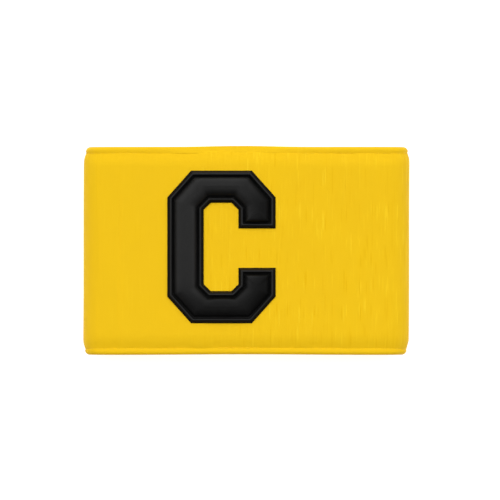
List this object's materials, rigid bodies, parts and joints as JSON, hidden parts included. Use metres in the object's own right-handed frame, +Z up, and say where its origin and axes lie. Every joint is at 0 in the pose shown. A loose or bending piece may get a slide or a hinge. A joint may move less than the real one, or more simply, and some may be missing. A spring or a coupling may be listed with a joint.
{
  "type": "captain armband",
  "caption": "Captain armband: a wide closed loop of thick elastic knit lying flattened, with a rolled hem round each edge and a padded block letter on its face, worn round the upper arm.",
  "frame": {"origin": "on the surface that the armband lies on, under the middle of its flattened outline", "axes": "+X from the left fold to the right fold as the letter reads, +Y up the letter, along the arm, and +Z up through the face"},
  "size_m": [0.125, 0.08, 0.0197],
  "materials": {
    "knit": "matt elastic knit with fine upright ribs",
    "hem_knit": "matt elastic knit, rolled and stitched",
    "faux_leather": "satin black faux leather, embossed"
  },
  "bodies": {
    "root": {"band_cloth": "knit", "top_hem": "hem_knit", "bottom_hem": "hem_knit", "letter_edging": "faux_leather", "letter_pad": "faux_leather"}
  },
  "joints": []
}
